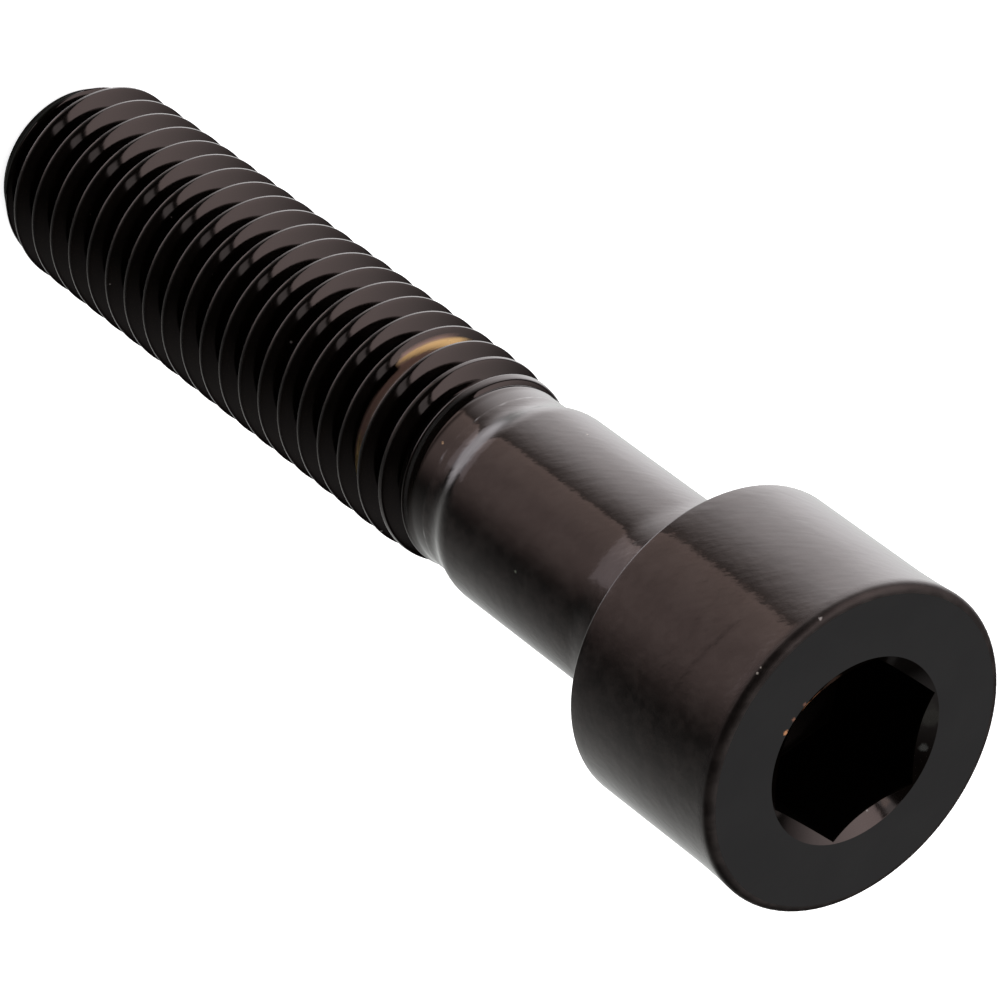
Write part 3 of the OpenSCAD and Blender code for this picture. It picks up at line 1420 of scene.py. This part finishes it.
@dataclass(frozen=True)
class LightCard:
    """Soft-edged light or card of the studio, seen from the screw, with angles in degrees.

    Attributes:
        azimuth: where it starts and stops round the axis, counted from the camera to the right.
        elevation: where it starts and stops above the horizon.
        level: its brightness, where 1 is white.
        tint: its colour.
        soft: width of its edges beyond the start and stop of azimuth and of elevation.
        outline: an oblong card has these limits; a round light has its middle at the two starts, and
            its inner and outer radius are the two stops.
    """

    azimuth: tuple[float, float]
    elevation: tuple[float, float]
    level: float
    tint: Colour = (1.0, 1.0, 1.0)
    soft: tuple[float, float, float, float] = (3.0, 3.0, 3.0, 3.0)
    outline: Outline = Outline.OBLONG


@dataclass
class Studio:
    """Pale floor, soft light all round the screw and the camera.

    Attributes:
        ambient: light from where no card is.
        cards: lights and cards round the screw.
        lens: focal length of the camera in millimetres.
        sensor: width of its sensor in millimetres.
        camera_at: its place in millimetres: towards the camera, beside that direction and up.
        elevation: how far it looks down, in degrees.
        roll: how far it is rolled about its own axis, in degrees.
        clip: nearest and furthest distance that it shows, in metres.
        floor_size: width of the floor in metres.
        floor_cells: faces along one side of the floor.
        floor_glow: light that the floor shows of its own.
        floor_colour: colour of the floor.
        floor_rough: roughness of the floor.
        lamp_height: height of the lamp in metres.
        lamp_size: width of the lamp in metres.
        lamp_power: power of the lamp in watts.
    """

    ambient: float = 0.012
    cards: tuple[LightCard, ...] = (
        LightCard((176.0, 176.0), (-90.0, -28.0), 0.72, (1.0, 1.02, 1.0), (150.0, 150.0, 1.0, 18.0)),
        LightCard((180.0, 180.0), (38.0, 60.0), 0.27, (1.0, 1.02, 1.04), (130.0, 130.0, 24.0, 25.0)),
        LightCard((90.0, 112.0), (-54.0, -20.0), 1.9, (1.0, 0.97, 1.0), (58.0, 70.0, 14.0, 20.0)),
        LightCard((-6.0, 39.0), (-62.0, -41.0), 0.68, (1.0, 0.80, 0.77), (54.0, 4.0, 8.0, 12.0)),
        LightCard((31.0, 39.0), (-62.0, -41.0), 0.26, (1.0, 0.82, 0.72), (30.0, 4.0, 8.0, 12.0)),
        LightCard((40.0, 56.0), (-60.0, -30.0), 0.08, (1.0, 0.5, 0.3), (10.0, 20.0, 10.0, 10.0)),
        LightCard((50.0, 12.0), (-82.0, 25.0), 1.75, (1.0, 0.98, 1.04), outline=Outline.ROUND),
        LightCard((-20.0, 36.0), (-72.0, -52.0), 0.4, (0.96, 0.94, 1.06), (10.0, 8.0, 5.0, 3.0)),
        LightCard((63.0, 82.0), (13.0, 80.0), 1.34, (1.0, 0.87, 0.87), (1.5, 80.0, 13.0, 3.0)),
        LightCard((38.0, 53.5), (64.0, 80.0), 0.66, (1.0, 0.96, 0.98), (3.0, 2.0, 3.0, 3.0)),
    )
    lens: float = 246.15
    sensor: float = 36.0
    camera_at: Place = (177.27, 0.44, 191.68)
    elevation: float = 42.7095
    roll: float = 126.96
    clip: tuple[float, float] = (0.01, 10.0)
    floor_size: float = 4.0
    floor_cells: int = 8
    floor_glow: float = 0.85
    floor_colour: Colour = (0.9, 0.9, 0.9)
    floor_rough: float = 0.9
    lamp_height: float = 0.7
    lamp_size: float = 0.8
    lamp_power: float = 5.0

    def build(self) -> None:
        """Make the floor, the light and the camera."""
        self.floor()
        self.lamp()
        self.world()
        self.camera()
        bpy.context.scene.view_settings.view_transform = "Standard"

    def floor(self) -> None:
        """Plain pale floor under the screw: white to the camera, with the screw's soft shadow."""
        half, side = self.floor_size / 2, self.floor_cells + 1
        across = np.linspace(-half, half, side)
        x, y = np.meshgrid(across, across, indexing="xy")
        points = np.stack([x, y, np.zeros_like(x)], axis=-1).reshape(-1, 3)
        cell = np.arange(self.floor_cells)
        low = (cell[:, None] * side + cell).ravel()
        faces = np.stack([low, low + 1, low + side + 1, low + side], axis=1)
        mesh = bpy.data.meshes.new("floor")
        mesh.from_pydata(points, [], faces.tolist())
        floor = bpy.data.objects.new("floor", mesh)
        bpy.context.scene.collection.objects.link(floor)
        material = bpy.data.materials.new("pale_floor")
        material.use_nodes = True
        tree = material.node_tree
        wire = Wiring(tree)
        shader = tree.nodes["Principled BSDF"]
        shader.inputs["Base Color"].default_value = (*self.floor_colour, 1.0)
        shader.inputs["Roughness"].default_value = self.floor_rough
        shader.inputs["Specular IOR Level"].default_value = 0.0
        shader.inputs["Emission Color"].default_value = WHITE
        light = wire.add("ShaderNodeLightPath")
        seen = wire.math("MAXIMUM", light.outputs["Is Camera Ray"], light.outputs["Is Glossy Ray"])
        seen = wire.math("MAXIMUM", seen, light.outputs["Is Transmission Ray"])
        wire.feed(shader.inputs["Emission Strength"], wire.math("MULTIPLY", seen, self.floor_glow))
        mesh.materials.append(material)
        floor.visible_glossy = False

    def lamp(self) -> None:
        """Large soft lamp over the screw, left out of its reflections."""
        data = bpy.data.lights.new("soft_lamp", "AREA")
        data.size = self.lamp_size
        data.energy = self.lamp_power
        lamp = bpy.data.objects.new("soft_lamp", data)
        lamp.location = (0.0, 0.0, self.lamp_height)
        lamp.visible_glossy = False
        bpy.context.scene.collection.objects.link(lamp)

    def world(self) -> None:
        """Light all round: white to the camera, and elsewhere the sum of the studio's cards.

        A card's light falls off smoothly over its edges, and the ambient light is added once.
        """
        world = bpy.data.worlds.new("studio")
        world.use_nodes = True
        bpy.context.scene.world = world
        tree = world.node_tree
        wire = Wiring(tree)
        turn = wire.add("ShaderNodeVectorRotate", rotation_type="Z_AXIS")
        wire.feed(turn.inputs["Vector"], wire.add("ShaderNodeTexCoord").outputs["Generated"])
        turn.inputs["Angle"].default_value = math.radians(-FACING)
        apart = wire.add("ShaderNodeSeparateXYZ")
        wire.feed(apart.inputs[0], turn.outputs[0])
        azimuth = wire.math("ARCTAN2", wire.math("MULTIPLY", apart.outputs[1], -1.0), apart.outputs[0])
        elevation = wire.math("ARCSINE", apart.outputs[2])
        total: Link | None = None
        for card in self.cards:
            if card.outline is Outline.ROUND:
                share = self.round_share(wire, card, turn.outputs[0])
            else:
                share = self.oblong_share(wire, card, azimuth, elevation)
            tint = wire.add("ShaderNodeVectorMath", operation="SCALE")
            tint.inputs[0].default_value = [card.level * part for part in card.tint]
            wire.feed(tint.inputs["Scale"], share)
            summed = wire.add("ShaderNodeVectorMath", operation="ADD")
            wire.feed(summed.inputs[0], tint.outputs[0])
            wire.feed(summed.inputs[1], [self.ambient] * 3 if total is None else total)
            total = summed.outputs[0]
        light = wire.add("ShaderNodeLightPath")
        colour = wire.mix(light.outputs["Is Camera Ray"], total, WHITE)
        wire.feed(tree.nodes["Background"].inputs["Color"], colour)

    def oblong_share(self, wire: Wiring, card: LightCard, azimuth: Link, elevation: Link) -> Link:
        """How much of an oblong card is seen in a direction: 1 inside it, falling to 0 over its edges.

        Args:
            wire: wiring of the world.
            card: the card.
            azimuth: direction round the axis in radians.
            elevation: direction above the horizon in radians.

        Returns:
            The share.
        """
        middle = sum(card.azimuth) / 2
        half = (card.azimuth[1] - card.azimuth[0]) / 2
        beside = wire.math("SUBTRACT", azimuth, math.radians(middle))
        beside = wire.math("WRAP", beside, math.pi, -math.pi)
        limits = (
            (beside, -half, -half - card.soft[0]),
            (beside, half, half + card.soft[1]),
            (elevation, card.elevation[0], card.elevation[0] - card.soft[2]),
            (elevation, card.elevation[1], card.elevation[1] + card.soft[3]),
        )
        share: Link | None = None
        for angle, inside, outside in limits:
            edge = wire.rise(angle, math.radians(outside), math.radians(inside))
            share = edge if share is None else wire.math("MULTIPLY", share, edge)
        return share

    def round_share(self, wire: Wiring, card: LightCard, direction: Link) -> Link:
        """How much of a round light is seen in a direction: 1 in its inner circle, 0 beyond the outer.

        Args:
            wire: wiring of the world.
            card: the light.
            direction: direction from the screw, turned so that the camera is at azimuth 0.

        Returns:
            The share.
        """
        azimuth, elevation = math.radians(card.azimuth[0]), math.radians(card.elevation[0])
        flat = math.cos(elevation)
        middle = (flat * math.cos(azimuth), -flat * math.sin(azimuth), math.sin(elevation))
        dot = wire.add("ShaderNodeVectorMath", operation="DOT_PRODUCT")
        wire.feed(dot.inputs[0], direction)
        dot.inputs[1].default_value = middle
        away = wire.math("ARCCOSINE", dot.outputs["Value"])
        return wire.rise(away, math.radians(card.elevation[1]), math.radians(card.azimuth[1]))

    def camera(self) -> None:
        """Camera at the photograph's viewing angle.

        Its place is given along the direction to the camera, beside it and up; it looks down by the
        elevation and is rolled about its own axis.
        """
        data = bpy.data.cameras.new("camera")
        data.lens = self.lens
        data.sensor_width = self.sensor
        data.clip_start, data.clip_end = self.clip
        camera = bpy.data.objects.new("camera", data)
        lean = math.radians(self.elevation)
        spin = Matrix.Rotation(math.radians(FACING), 3, "Z")
        back = Vector((math.cos(lean), 0.0, math.sin(lean)))
        level = Vector((0.0, 1.0, 0.0))
        upright = back.cross(level)
        tilt = math.radians(self.roll)
        right = math.cos(tilt) * level + math.sin(tilt) * upright
        up = math.cos(tilt) * upright - math.sin(tilt) * level
        axes = Matrix((spin @ right, spin @ up, spin @ back)).transposed()
        camera.matrix_world = Matrix.Translation(spin @ Vector(self.camera_at) * MM) @ axes.to_4x4()
        bpy.context.scene.collection.objects.link(camera)
        bpy.context.scene.camera = camera


def main() -> None:
    """Build the screw and the studio."""
    logging.basicConfig(level=logging.INFO, format="%(name)s: %(message)s")
    screw = CapScrew().build()
    log.info("%s: %d faces on body %s", screw.name, len(screw.data.polygons), BODY)
    Studio().build()


if __name__ == "__main__":
    main()
